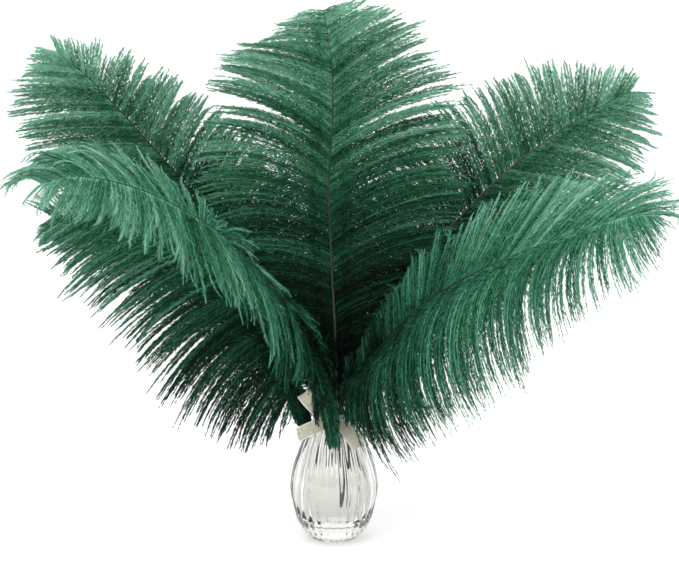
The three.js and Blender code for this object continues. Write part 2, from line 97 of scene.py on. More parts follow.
# Rachis points, bare quill length, and which way the vane faces. Each side lists, from the vane's
# start to its tip: barb length, angle, lift, sweep back, droop and curl.
PLUMES = {
    "centre": {
        "bare": 97,
        "shaft": [[8.5, -20, 29.5], [7.5, -14, 43.5], [4.5, -5.5, 61.5], [0.8, 1.6, 79.5],
                  [1.8, 5.8, 96.5], [1.6, 8, 112.5], [1, 8, 158.5], [-2, 9, 220.5], [-4, 13, 279.5],
                  [-1, 20, 334.5], [-2, 28, 375.5], [-8, 36, 415.5]],
        "faces": [[0, -1, 0.1], [0, -1, 0.24], [0, -1, 0.36]],
        "left": [[40, 90, 114, 120, 112, 84, 22], [60, 60, 58, 55, 55, 60, 78], [10, 8, 4, 2, 0],
                 [0.5, 0.6, 0.6, 0.5, 0.4, 0.4, 0.3], [0.3, 0.4, 0.4, 0.25, 0.15, 0.1, 0], [0, 0.05, 0.15]],
        "right": [[40, 90, 118, 128, 116, 80, 22], [62, 60, 56, 53, 50, 52, 72], [0],
                  [0.5, 0.5, 0.5, 0.5, 0.4, 0.25, 0.1], [0.15, 0.15, 0.15, 0.15, 0.1, 0.1, 0],
                  [0, 0.05, 0.15]],
    },
    "left_high": {
        "bare": 70,
        "shaft": [[14, 1, 52.5], [3, 1.9, 95.5], [-6.5, 9.5, 122.5], [-14, 13.5, 147.5],
                  [-35, 18, 180.5], [-67, 24, 221.5], [-97, 29, 256.5], [-136, 34, 300.5],
                  [-186, 40, 355.5], [-217, 44, 381.5]],
        "faces": [[0, -1, 0.05], [0, -1, 0.11], [0, -1, 0.2]],
        "left": [[36, 74, 98, 105, 100, 76, 20], [55, 52, 48, 46, 46, 42, 20], [0],
                 [0.4, 0.4, 0.35, 0.25, 0.15, 0.1, 0], [0.3, 0.3, 0.25, 0.2, 0.15, 0.15, 0.1],
                 [0, 0.05, 0.1]],
        "right": [[30, 58, 74, 80, 64, 42, 16], [55, 58, 58, 58, 62, 60, 24], [-8, -12, -14, -6, 0],
                  [0.4, 0.4, 0.4, 0.3, 0.2, 0.15, 0], [0.2, 0.2, 0.2, 0.15, 0.1, 0.1, 0], [0, 0.05, 0.1]],
    },
    "right_high": {
        "bare": 70,
        "shaft": [[-10, 8, 52.5], [0, 9.2, 95.5], [9, 11, 121.5], [16, 13, 131.5], [30, 17, 152.5],
                  [52, 28, 191.5], [91, 44, 240.5], [137, 62, 284.5], [195, 82, 324.5], [241, 93, 347.5]],
        "faces": [[0, -1, 0.2], [0, -1, 0.38], [0, -1, 0.54]],
        "left": [[30, 76, 96, 98, 86, 58, 18], [60, 60, 60, 60, 58, 56, 26], [-14, -14, -12, -6, 0],
                 [0.4, 0.4, 0.4, 0.4, 0.3, 0.15, 0], [0.15, 0.15, 0.15, 0.1, 0.1, 0.1, 0], [0, 0.05, 0.1]],
        "right": [[36, 78, 96, 98, 90, 68, 22], [50, 50, 48, 46, 46, 46, 26], [0],
                  [0.4, 0.4, 0.35, 0.3, 0.2, 0.15, 0.1], [0.3, 0.3, 0.3, 0.25, 0.2, 0.2, 0.1],
                  [0, 0.05, 0.1]],
    },
    "left_low": {
        "bare": 84,
        "shaft": [[17, -1.5, 56.5], [4, -1.8, 93.5], [-3, -1.6, 104.5], [-13, -2, 113.5],
                  [-27, -3, 122.5], [-40, -5, 140.5], [-52, -6, 163.5], [-64, -8, 189.5],
                  [-80, -11, 217.5], [-107, -14, 241.5], [-141, -18, 256.5], [-180, -24, 264.5],
                  [-212, -30, 261.5]],
        "faces": [[0, -1, 0.1], [-0.05, -1, 0.2]],
        "left": [[50, 74, 96, 96, 86, 56, 12], [98, 88, 84, 54, 34, 24, 12], [12, 8, 4, 0, -4, -8, 12],
                 [0.5, 0.7, 0.5, 0.3, 0.3, 0.2, -0.3], [0.2, 0.3, 0.1, 0.3, 0.3, 0.2, 0.6],
                 [-0.3, -0.2, -0.1, -0.1, -0.2, -0.2, -0.4]],
        "right": [[28, 26, 26, 30, 36, 36, 28], [155, 145, 145, 140, 140, 140, 36],
                  [90, 10, 8, 10, 16, 22, -4], [0, 0.3, 0.6, 0.2, -0.1, -0.1, 0.1],
                  [0.7, 1.3, 0.7, 0.7, 0.5, 0.3, 0.3], [-0.2, 0.2, 0.3, 0, 0, 0, 0]],
    },
    "left_front": {
        "bare": 78,
        "shaft": [[14, -7, 58.5], [2, -9.2, 97.5], [-8, -13, 135.5], [-22, -32, 173.5],
                  [-42, -54, 208.5], [-66, -73, 237.5], [-92, -88, 264.5], [-138, -102, 291.5],
                  [-182, -110, 302.5], [-209, -113, 297.5]],
        "faces": [[-0.25, -1, 0.4], [-0.3, -0.6, 0.9], [-0.2, -0.4, 1]],
        "left": [[50, 52, 70, 66, 60, 46, 18], [100, 108, 120, 116, 110, 100, 34],
                 [80, 80, 42, 22, 2, -16, 0], [1.6, 0, 0, 0.7, 0.8, 0.2, -0.5],
                 [-0.9, 0.5, 0.1, -0.4, -1.1, -1.9, -0.6], [-0.6, -0.8, -0.8, -0.9, -1.5, -2.1, -1.5]],
        "right": [[28, 30, 34, 34, 38, 60, 36], [156, 152, 142, 136, 54, 50, 50],
                  [-44, -60, -48, -28, -4, 24, 46], [0, 0.2, -1, -1.5, -0.8, -0.5, 0.4],
                  [0, 0, 1.2, 2.1, 1, 1.9, 2.2], [0.6, 1.2, 1.3, 1.7, 1, 1.2, 0.9]],
    },
    "right_front": {
        "bare": 78,
        "shaft": [[-10, -4, 58.5], [2, -5.5, 97.5], [12, -13, 131.5], [20, -18, 141.5], [38, -30, 164.5],
                  [58, -45, 188.5], [77, -58, 206.5], [114, -78, 231.5], [166, -96, 256.5],
                  [208, -106, 272.5], [231, -112, 275.5]],
        "faces": [[0.25, -1, 0.4], [0.3, -0.9, 0.7], [0.2, -0.5, 1]],
        "left": [[22, 34, 52, 74, 86, 76, 26], [38, 40, 42, 42, 38, 32, 14], [0],
                 [0.1, 0.1, 0, 0, 0, 0, 0], [0, 0, 0, 0.1, 0.3, 0.5, 0.5], [0]],
        "right": [[42, 98, 112, 110, 98, 66, 14], [100, 133, 133, 135, 139, 142, 36],
                  [90, 78, 54, 34, 28, 6, -20], [-0.5, -1.2, -0.9, -0.8, -0.8, -0.7, 0],
                  [1.1, 1.4, 0.8, 0.5, 0.5, 0.3, -0.9], [-1.2, -1.2, -1, -1, -1.2, -1.1, -1.6]],
    },
}

# How each plume's barbs are dressed:
#   skirt   how far below the vane's start the first short barbs grow, in millimetres
#   lock    the fewest barbs in a lock, and one more than the most
#   from    the share of their length from which the barbs of a lock draw together
#   loft    the spread of the locks out of the vane's plane, in degrees
#   lean    the angles at which side threads leave a barb, in degrees
#   uneven  the spread of the barbs' lengths
#   depth   the painted shade at the vane's start
#   glow    how much lighter the painted shading grows towards the tip
# The rest are pairs for the left and the right side:
#   barbs   how many
#   close   how tightly the locks close
#   hook    how far the ends hook, in millimetres
#   ends    how much lighter the ends are painted
#   crowd   below 1, barbs stand closer together towards the tip
DRESS = {
    "centre": {"seed": 11, "skirt": 12, "lock": (2, 5), "from": (0.6, 0.85), "loft": 2.5,
               "lean": (20, 52), "uneven": 0.04, "depth": 0.04, "glow": 0.12,
               "barbs": (250, 250), "close": (0.12, 0.12), "hook": (1.5, 1.5), "ends": (1, 1)},
    "left_high": {"seed": 12, "skirt": 12, "lock": (2, 6), "from": (0.55, 0.8), "loft": 3,
                  "lean": (20, 52), "uneven": 0.05, "depth": 0.05, "glow": 0.2,
                  "barbs": (225, 210), "close": (0.22, 0.18), "hook": (1.5, 1.5), "ends": (1, 1)},
    "right_high": {"seed": 13, "skirt": 12, "lock": (2, 6), "from": (0.55, 0.8), "loft": 3,
                   "lean": (20, 52), "uneven": 0.05, "depth": 0.04, "glow": 0.14,
                   "barbs": (210, 225), "close": (0.18, 0.22), "hook": (1.5, 1.5), "ends": (1, 1)},
    "left_low": {"seed": 14, "skirt": 6, "lock": (2, 4), "from": (0.5, 0.8), "loft": 4,
                 "lean": (16, 40), "uneven": 0.06, "depth": 0.24, "glow": 0.05,
                 "barbs": (300, 170), "close": (0.25, 0.3), "hook": (1.5, 1), "ends": (0.6, 1)},
    "left_front": {"seed": 15, "skirt": 10, "lock": (3, 7), "from": (0.55, 0.85), "loft": 6,
                   "lean": (14, 42), "uneven": 0.1, "depth": 0.08, "glow": 0.18,
                   "barbs": (290, 240), "close": (0.3, 0.22), "hook": (3, 3), "ends": (0.8, 1),
                   "crowd": (0.85, 0.85)},
    "right_front": {"seed": 16, "skirt": 8, "lock": (2, 5), "from": (0.65, 0.9), "loft": 2.2,
                    "lean": (14, 42), "uneven": 0.06, "depth": 0.16, "glow": 0.04,
                    "barbs": (220, 460), "close": (0.25, 0.08), "hook": (6, 2), "ends": (1.2, 0.3),
                    "crowd": (1, 0.92)},
}

# Tufts of long basal barbs that hang down by the bow: where along the shaft they grow, where they end,
# the spread of the ends and the place their middles pass, all in millimetres; ends is how much lighter
# their ends are painted.
TUFTS = {
    "left_front": {"barbs": 70, "along": (58, 112), "end": (-1, -35, 84), "spread": (6, 2.5, 3),
                   "past": (0, -9, 9), "ends": 0.7},
    "left_low": {"barbs": 60, "along": (84, 104), "end": (-22, -8, 92), "spread": (8, 3, 5),
                 "past": (-4, 0, 6), "ends": 0.3},
    "right_front": {"barbs": 50, "along": (78, 112), "end": (12, -30, 101), "spread": (9, 3, 4),
                    "past": (0, -6, 8), "ends": 0.5},
}

PLUME_TRIANGLES = 156000     # what the barbs leave of these goes to side threads
BARB_STEPS = 10
BARB_HALF_WIDTH = 0.56       # with its bed of down, much wider than the bare barb
BARB_RIDGE = 0.45            # height of the roof-shaped blade, as a share of its half width
BARBULE_LENGTH = (3.5, 7.5)
BARBULE_WIDTH = (0.4, 0.85)  # a small bundle, because single barbules are too fine to show
DOWN_BARBS = 56

# Colour ramps for the shade attribute: painted deep shade at the dark end, the green dye in the middle and
# painted light at the lightest ends. The second ramp is a lighter, painted-lit copy of the same dye for the
# two front plumes.
DEEP_DYE_AND_SHADE = [(0.0, "#020a05"), (0.3, "#0f3a26"), (0.62, "#317152"), (1.0, "#80bb9d")]
FRONT_LIT_DYE_AND_SHADE = [(0.0, "#03120a"), (0.26, "#184f38"), (0.58, "#3f8c6a"), (1.0, "#94cdb3")]

# Barbs of one kind, one entry a barb: t along the vane, length, N which way each faces, the points of
# its path, and its tone of dye.
Barbs = namedtuple("Barbs", "t length N paths tone")


# ---------------------------------------------------------------- small helpers

def linear(code):
    """sRGB hex to a linear colour."""
    channels = [int(code[i:i + 2], 16) / 255 for i in (1, 3, 5)]
    return tuple(c / 12.92 if c <= 0.04045 else ((c + 0.055) / 1.055) ** 2.4 for c in channels) + (1.0,)


def unit(v):
    """Vectors at length 1, along the last axis."""
    return v / np.maximum(np.linalg.norm(v, axis=-1, keepdims=True), 1e-9)


def blend(values, t):
    """Catmull-Rom through evenly spaced values, at t from 0 to 1."""
    p = np.asarray(values, float)
    if len(p) == 1:
        p = np.concatenate([p, p])
    flat = p.ndim == 1
    if flat:
        p = p[:, None]
    x = np.clip(np.asarray(t, float), 0, 1) * (len(p) - 1)
    i = np.clip(x.astype(int), 0, len(p) - 2)
    w = (x - i)[..., None]
    ends = np.vstack([2 * p[0] - p[1], p, 2 * p[-1] - p[-2]])
    a, b, c, d = ends[i], ends[i + 1], ends[i + 2], ends[i + 3]
    out = 0.5 * (2 * b + (c - a) * w + (2 * a - 5 * b + 4 * c - d) * w ** 2
                 + (3 * b - a - 3 * c + d) * w ** 3)
    return out[..., 0] if flat else out


def smoothstep(x):
    """0 below 0, 1 above 1, with a soft rise between them."""
    x = np.clip(x, 0, 1)
    return x * x * (3 - 2 * x)


def deselect():
    if bpy.context.object and bpy.context.object.mode != "OBJECT":
        bpy.ops.object.mode_set(mode="OBJECT")
    bpy.ops.object.select_all(action="DESELECT")


def node(tree, kind, settings=None, links=None, stops=()):
    """Adds a node with its properties or input values, its links and, on a colour ramp, its stops."""
    n = tree.nodes.new(kind)
    for key, value in (settings or {}).items():
        if isinstance(key, int) or key in n.inputs:
            n.inputs[key].default_value = value
        else:
            setattr(n, key, value)
    for key, source in (links or {}).items():
        tree.links.new(source, n.inputs[key])
    if stops:
        elements = n.color_ramp.elements
        while len(elements) < len(stops):
            elements.new(0.5)
        for element, (place, code) in zip(elements, stops):
            element.position = place
            element.color = linear(code)
    return n


def new_material(name):
    material = bpy.data.materials.new(name)
    material.use_nodes = True
    tree = material.node_tree
    tree.nodes.clear()
    return material, tree


def vase_radius(z):
    """The vase's outer radius at a height, in millimetres."""
    radii, heights = zip(*VASE_OUTER)
    return float(np.interp(z, heights, radii))


# ---------------------------------------------------------------- camera, light and stage

def aim_camera():
    data = bpy.data.cameras.new("camera")
    data.sensor_width = SENSOR_WIDTH
    data.lens = SENSOR_WIDTH * (VIEW_DISTANCE / PIXEL) / IMAGE_WIDTH
    data.clip_start = 0.05
    data.clip_end = 50.0
    camera = bpy.data.objects.new("camera", data)
    camera.location = CAMERA_PLACE
    camera.rotation_euler = (math.radians(CAMERA_TILT), 0, 0)
    bpy.context.collection.objects.link(camera)
    bpy.context.scene.camera = camera


def softbox(name, place, size, power):
    data = bpy.data.lights.new(name, "AREA")
    data.shape = "RECTANGLE"
    data.size, data.size_y = size
    data.energy = power
    light = bpy.data.objects.new(name, data)
    light.location = place
    aim = Vector(SOFTBOX_AIM) - Vector(place)
    light.rotation_euler = aim.to_track_quat("-Z", "Y").to_euler()
    bpy.context.collection.objects.link(light)


def light_studio():
    scene = bpy.context.scene
    scene.view_settings.view_transform = "Standard"
    scene.view_settings.look = "None"
    for name, settings in SOFTBOXES.items():
        softbox(name, *settings)
    world = bpy.data.worlds.new("studio")
    scene.world = world
    world.use_nodes = True
    tree = world.node_tree
    tree.nodes.clear()
    place = node(tree, "ShaderNodeTexCoord")
    split = node(tree, "ShaderNodeSeparateXYZ", links={0: place.outputs["Generated"]})
    fade = node(tree, "ShaderNodeValToRGB", links={"Fac": split.outputs["Z"]}, stops=SKY)
    sky = node(tree, "ShaderNodeBackground", {"Strength": SKY_STRENGTH}, {"Color": fade.outputs["Color"]})
    node(tree, "ShaderNodeOutputWorld", links={"Surface": sky.outputs[0]})


def sweep_stage():
    """One wide pale sheet: a floor that curves up into a backdrop, well behind every view of the piece.

    The paper glows a little, and more so further off, where the softboxes no longer reach it.
    """
    flat = PAPER_BEND - PAPER_FRONT
    arc = PAPER_RADIUS * math.pi / 2
    length = flat + arc + PAPER_TOP - PAPER_RADIUS
    deselect()
    bpy.ops.mesh.primitive_grid_add(x_subdivisions=2, y_subdivisions=PAPER_STEPS, size=2)
    sheet = bpy.context.object
    sheet.name = "paper_sweep"
    for v in sheet.data.vertices:
        run = (v.co.y + 1) / 2 * length
        x = v.co.x * PAPER_HALF_WIDTH
        if run < flat:
            v.co = (x, PAPER_FRONT + run, 0)
        elif run < flat + arc:
            turn = (run - flat) / PAPER_RADIUS
            v.co = (x, PAPER_BEND + PAPER_RADIUS * math.sin(turn), PAPER_RADIUS * (1 - math.cos(turn)))
        else:
            v.co = (x, PAPER_BEND + PAPER_RADIUS, PAPER_RADIUS + run - flat - arc)
    bpy.ops.object.shade_smooth()
    material, tree = new_material("white_background_paper")
    place = node(tree, "ShaderNodeTexCoord")
    away = node(tree, "ShaderNodeVectorMath", {"operation": "LENGTH"}, {0: place.outputs["Object"]})
    glow = node(tree, "ShaderNodeMapRange", PAPER_GLOW, {"Value": away.outputs["Value"]})
    shader = node(tree, "ShaderNodeBsdfPrincipled", {
        "Base Color": linear("#f4f4f4"), "Roughness": 0.9, "Specular IOR Level": 0.1,
        "Emission Color": (1, 1, 1, 1)}, {"Emission Strength": glow.outputs["Result"]})
    node(tree, "ShaderNodeOutputMaterial", links={"Surface": shader.outputs[0]})
    sheet.data.materials.append(material)


# ---------------------------------------------------------------- finishes

def barb_material(name, stops, sheen):
    """Dyed ostrich barbs: matt green down, with painted deep shade at its roots and painted light towards a
    silkier end.

    The shade attribute runs along each barb and carries this painted light and shade; tone differs from
    lock to lock as dye takes unevenly.
    """
    material, tree = new_material(name)
    shade = node(tree, "ShaderNodeAttribute", {"attribute_name": "shade"})
    tone = node(tree, "ShaderNodeAttribute", {"attribute_name": "tone"})
    # tone runs from 0 to 1 and moves the shade up or down by 0.22 at most
    shift = node(tree, "ShaderNodeMath", {"operation": "MULTIPLY_ADD", 1: 0.44, 2: -0.22},
                 {0: tone.outputs["Fac"]})
    total = node(tree, "ShaderNodeMath", {"operation": "ADD", "use_clamp": True},
                 {0: shade.outputs["Fac"], 1: shift.outputs[0]})
    colour = node(tree, "ShaderNodeValToRGB", links={"Fac": total.outputs[0]}, stops=stops)
    shader = node(tree, "ShaderNodeBsdfPrincipled", {
        "Roughness": 0.5, "Specular IOR Level": 0.08, "Sheen Weight": sheen, "Sheen Roughness": 0.4,
        "Sheen Tint": linear("#7fd0a8")}, {"Base Color": colour.outputs["Color"]})
    node(tree, "ShaderNodeOutputMaterial", links={"Surface": shader.outputs[0]})
    return material


def shaft_material():
    """The rachis and quill: keratin that took the dye almost black, scraped smooth, with a waxy shine."""
    material, tree = new_material("dyed_quill_keratin")
    place = node(tree, "ShaderNodeTexCoord")
    # growth mottle, stretched up the quill: about 2 mm across
    stretch = node(tree, "ShaderNodeMapping", {"Scale": (1.0, 1.0, 0.2)},
                   {"Vector": place.outputs["Object"]})
    mottle = node(tree, "ShaderNodeTexNoise", {"Scale": 500.0, "Detail": 2.0},
                  {"Vector": stretch.outputs[0]})
    colour = node(tree, "ShaderNodeValToRGB", links={"Fac": mottle.outputs["Fac"]},
                  stops=[(0.35, "#10150f"), (0.7, "#2b3327")])
    shader = node(tree, "ShaderNodeBsdfPrincipled", {
        "Roughness": 0.3, "Specular IOR Level": 0.5}, {"Base Color": colour.outputs["Color"]})
    node(tree, "ShaderNodeOutputMaterial", links={"Surface": shader.outputs[0]})
    return material


def glass_material():
    """Clear soda-lime glass, fire polished: IOR 1.52, a trace of grey green in its thickness."""
    material, tree = new_material("clear_soda_lime_glass")
    shader = node(tree, "ShaderNodeBsdfPrincipled", {
        "Base Color": linear("#e9eae6"), "Roughness": 0.0, "IOR": 1.52, "Transmission Weight": 1.0})
    node(tree, "ShaderNodeOutputMaterial", links={"Surface": shader.outputs[0]})
    return material


def ribbon_material():
    """Champagne satin ribbon: a fine cross weave at 0.5 mm, and a painted highlight along both edges."""
    material, tree = new_material("champagne_satin_ribbon")
    uv = node(tree, "ShaderNodeUVMap", {"uv_map": "cloth"})
    split = node(tree, "ShaderNodeSeparateXYZ", links={0: uv.outputs[0]})
    # the cloth map is in millimetres: u across the ribbon, v along it
    threads = []
    for axis, period in (("X", 0.55), ("Y", 0.5)):
        turn = node(tree, "ShaderNodeMath", {"operation": "MULTIPLY", 1: 2 * math.pi / period},
                    {0: split.outputs[axis]})
        threads.append(node(tree, "ShaderNodeMath", {"operation": "SINE"}, {0: turn.outputs[0]}))
    weave = node(tree, "ShaderNodeMath", {"operation": "MULTIPLY"},
                 {0: threads[0].outputs[0], 1: threads[1].outputs[0]})
    edge = node(tree, "ShaderNodeMath", {"operation": "ABSOLUTE"}, {0: split.outputs["X"]})
    # painted highlight: the outer 0.8 mm of each edge takes a lighter colour
    edge_highlight = node(tree, "ShaderNodeMath", {"operation": "GREATER_THAN", 1: RIBBON_WIDTH / 2 - 0.8},
                    {0: edge.outputs[0]})
    place = node(tree, "ShaderNodeTexCoord")
    slub = node(tree, "ShaderNodeTexNoise", {"Scale": 420.0, "Detail": 3.0},
                {"Vector": place.outputs["Object"]})
    base = node(tree, "ShaderNodeValToRGB", links={"Fac": slub.outputs["Fac"]},
                stops=[(0.3, "#b9b59f"), (0.7, "#d3cfbc")])
    light = node(tree, "ShaderNodeMix", {"data_type": "RGBA", 7: linear("#ece9d9")},
                 {0: edge_highlight.outputs[0], 6: base.outputs["Color"]})
    bump = node(tree, "ShaderNodeBump", {"Strength": 0.35, "Distance": 0.0001},
                {"Height": weave.outputs[0]})
    shader = node(tree, "ShaderNodeBsdfPrincipled", {
        "Roughness": 0.42, "Specular IOR Level": 0.4, "Sheen Weight": 0.25, "Sheen Roughness": 0.3},
        {"Base Color": light.outputs[2], "Normal": bump.outputs[0]})
    node(tree, "ShaderNodeOutputMaterial", links={"Surface": shader.outputs[0]})
    return material


# ---------------------------------------------------------------- the vase

def make_vase():
    """A circle pulled into the closed profile, opened along the axis, spun and then fluted."""
    deselect()
    outer = blend(VASE_OUTER, np.linspace(0, 1, OUTER_RINGS))
    inner = blend(VASE_INNER, np.linspace(0, 1, INNER_RINGS))
    profile = [(0.0, 0.0), (FOOT_RADIUS, 0.0)] + [tuple(p) for p in outer] + [tuple(p) for p in inner]
    profile += [(FOOT_RADIUS, WELL_FLOOR + 0.4), (0.0, WELL_FLOOR)]
    bpy.ops.mesh.primitive_circle_add(vertices=len(profile), radius=0.01)
    vase = bpy.context.object
    vase.name = "ribbed_bud_vase"
    for v, (r, z) in zip(vase.data.vertices, profile):
        v.co = (r * MM, 0, z * MM)
    last = len(profile) - 1
    bpy.ops.object.mode_set(mode="EDIT")
    bpy.ops.mesh.select_mode(type="EDGE")
    bpy.ops.mesh.select_all(action="DESELECT")
    bpy.ops.object.mode_set(mode="OBJECT")
    for e in vase.data.edges:
        e.select = set(e.vertices) == {0, last}
    bpy.ops.object.mode_set(mode="EDIT")
    bpy.ops.mesh.delete(type="EDGE")
    bpy.ops.mesh.select_all(action="SELECT")
    bpy.ops.mesh.spin(steps=RIBS * STEPS_PER_RIB, angle=2 * math.pi, center=(0, 0, 0), axis=(0, 0, 1))
    bpy.ops.mesh.select_all(action="SELECT")
    bpy.ops.mesh.remove_doubles(threshold=0.000002)
    bpy.ops.mesh.normals_make_consistent(inside=False)
    bpy.ops.object.mode_set(mode="OBJECT")
    # the blown ribs: upright flutes that wander a little and die away at the neck and the foot,
    # and show through on the inner wall as a fainter wave
    for v in vase.data.vertices:
        r, z = math.hypot(v.co.x, v.co.y) / MM, v.co.z / MM
        if r < 1:
            continue
        a = math.atan2(v.co.y, v.co.x)
        fade = smoothstep((z - 2) / 12) * smoothstep((103 - z) / 16)
        wander = 0.5 * math.sin(z / 8.5 + 2 * math.sin(a))
        wander = wander * smoothstep((z - 10) / 20) * smoothstep((80 - z) / 30)
        outside = r > vase_radius(z) - 1.1
        wave = math.cos(RIBS * a + wander)
        crest = wave if outside else -0.3 * math.cos(RIBS * a + wander + 0.6)
        r += RIB_DEPTH * fade * crest
        v.co.x, v.co.y = r * MM * math.cos(a), r * MM * math.sin(a)
    bpy.ops.object.shade_smooth()
    vase.data.materials.append(glass_material())
    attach(vase, "root")
    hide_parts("vase")


# ---------------------------------------------------------------- the ribbon

# Rows: x, y, z of the centre line, the direction of the width, and the share of the full width.
BOW = {
    "loop_left": [(-4, -20.2, 101, 0.5, 0, 0.85, 0.5), (-11, -27, 108.5, 0.7, 0, 0.7, 0.85),
                  (-18, -31, 117.5, 0.8, 0, 0.6, 1), (-23.5, -28.5, 124, 0.8, 0, 0.6, 1),
                  (-19, -23.5, 119.5, 0.8, 0, 0.6, 1), (-11, -20.8, 110.5, 0.7, 0, 0.7, 0.85),
                  (-3, -19.6, 101.5, 0.5, 0, 0.85, 0.5)],
    "loop_up": [(-6, -20.6, 101.5, 0.6, 0.8, 0, 0.5), (-11.5, -24.5, 110, 0.35, 0.9, 0.1, 0.8),
                (-14.5, -26.5, 121, 0.3, 0.95, 0, 0.9), (-12, -26.5, 128.5, 0.3, 0.95, 0, 0.9),
                (-9.8, -25, 121, 0.3, 0.95, 0, 0.9), (-6, -23, 111, 0.35, 0.9, 0.1, 0.8),
                (0, -20.6, 102, 0.6, 0.8, 0, 0.5)],
    "tail_left": [(-3, -20.5, 99.5, 0.1, 0, 1, 0.6), (-9, -24.5, 98.6, -0.05, 0.05, 1, 0.95),
                  (-18, -26, 95.5, -0.2, 0.1, 1, 1), (-28.5, -26.5, 90.5, -0.25, 0.1, 1, 1)],
    "tail_right": [(2, -20, 99.5, 0.9, 0, 0.4, 0.6), (8.5, -23, 96, 0.9, 0.2, 0.4, 1),
                   (14, -25.5, 89, 0.9, 0.3, 0.42, 1), (19, -26.5, 80.5, 0.9, 0.4, 0.42, 1)],
}


def set_cloth_map(piece, places):
    """Names the UV map and fills it with each vertex's place on the flat ribbon, in millimetres."""
    layer = piece.data.uv_layers.active
    layer.name = "cloth"
    for loop in piece.data.loops:
        layer.data[loop.index].uv = places[loop.vertex_index]


def ribbon_strip(name, path, across, along):
    """A flat grid laid along a centre line. Its cloth map keeps true millimetres."""
    deselect()
    bpy.ops.mesh.primitive_grid_add(x_subdivisions=across, y_subdivisions=along, size=2)
    strip = bpy.context.object
    strip.name = name
    t = np.linspace(0, 1, 200)
    rows = np.array(path, float)
    line = blend(rows[:, :3], t)
    run = np.concatenate([[0], np.cumsum(np.linalg.norm(np.diff(line, axis=0), axis=1))])
    half = RIBBON_WIDTH / 2
    flat = {}
    for v in strip.data.vertices:
        s, w = (v.co.y + 1) / 2, v.co.x
        centre = blend(rows[:, :3], s)
        ahead = blend(rows[:, :3], min(1, s + 0.01)) - blend(rows[:, :3], max(0, s - 0.01))
        side = unit(blend(rows[:, 3:6], s))
        share = float(blend(rows[:, 6], s))
        up = unit(np.cross(unit(ahead), side))
        # a slight trough along the strip, deeper where the ribbon is gathered
        dip = (1 - w * w) * (0.5 + 2.4 * (1 - share))
        ruck = 0.5 * (1 - share) * math.sin(9 * w + 3 * s)
        p = centre + side * w * half * share + up * (dip + ruck - 0.4)
        flat[v.index] = (w * half, float(np.interp(s, t, run)))
        v.co = p * MM
    set_cloth_map(strip, flat)
    return strip


def ribbon_band():
    """The band, drawn into soft lengthwise pleats round the waist of the neck."""
    deselect()
    bpy.ops.mesh.primitive_grid_add(x_subdivisions=12, y_subdivisions=120, size=2)
    band = bpy.context.object
    flat = {}
    for v in band.data.vertices:
        s, w = (v.co.y + 1) / 2, v.co.x
        a = 2 * math.pi * s - math.pi / 2
        z = BAND_MIDDLE + BAND_HALF * w
        pleat = 0.22 * (1 + math.sin(10 * w + 1.5 * math.sin(2 * a)))
        r = vase_radius(z) + BAND_GAP + pleat
        v.co = (r * math.cos(a) * MM, r * math.sin(a) * MM, z * MM)
        flat[v.index] = (w * RIBBON_WIDTH / 2, s * 2 * math.pi * 16)
    set_cloth_map(band, flat)
    return band


def ribbon_knot():
    """The knot: one turn of ribbon drawn tight over the crossing."""
    deselect()
    bpy.ops.mesh.primitive_uv_sphere_add(segments=32, ring_count=20, radius=1)
    knot = bpy.context.object
    cx, cy, cz = KNOT_CENTRE
    flat = {}
    for v in knot.data.vertices:
        x, y, z = v.co
        groove = 1 - 0.1 * math.cos(9 * x + 1.2 * math.sin(3 * z))
        square = 1 - 0.12 * (x * x * z * z)
        v.co = ((cx + 5.4 * x * square) * MM, (cy + 3.0 * y * groove) * MM,
                (cz + (4.4 - 1.2 * math.cos(2.2 * x)) * 1.25 * z * square) * MM)
        flat[v.index] = (v.co.x / MM * 0.7, v.co.z / MM)
    set_cloth_map(knot, flat)
    return knot


def make_ribbon():
    strips = [ribbon_strip(name, path, 12, 60) for name, path in BOW.items()]
    band = ribbon_band()
    knot = ribbon_knot()
    deselect()
    for piece in [*strips, band]:
        piece.select_set(True)
        bpy.context.view_layer.objects.active = piece
    bpy.ops.object.join()
    bow = bpy.context.object
    bow.name = "ribbon"
    thick = bow.modifiers.new("thickness", "SOLIDIFY")
    thick.thickness = RIBBON_THICKNESS * MM
    thick.offset = 1
    bpy.ops.object.modifier_apply(modifier="thickness")
    knot.select_set(True)
    bpy.ops.object.join()
    bpy.ops.object.shade_smooth()
    bow.data.materials.clear()
    bow.data.materials.append(ribbon_material())
    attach(bow, "root")
    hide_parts("ribbon_bow")


# ---------------------------------------------------------------- the plumes

class Shaft:
    """The rachis line, read by distance along it."""

    def __init__(self, points):
        fine = blend(points, np.linspace(0, 1, 1600))
        self.points = fine
        self.arcs = np.concatenate([[0], np.cumsum(np.linalg.norm(np.diff(fine, axis=0), axis=1))])
        self.length = self.arcs[-1]
        self.slopes = unit(np.gradient(fine, axis=0))

    def at(self, s):
        place = np.stack([np.interp(s, self.arcs, self.points[:, k]) for k in range(3)], -1)
        slope = np.stack([np.interp(s, self.arcs, self.slopes[:, k]) for k in range(3)], -1)
        return place, unit(slope)


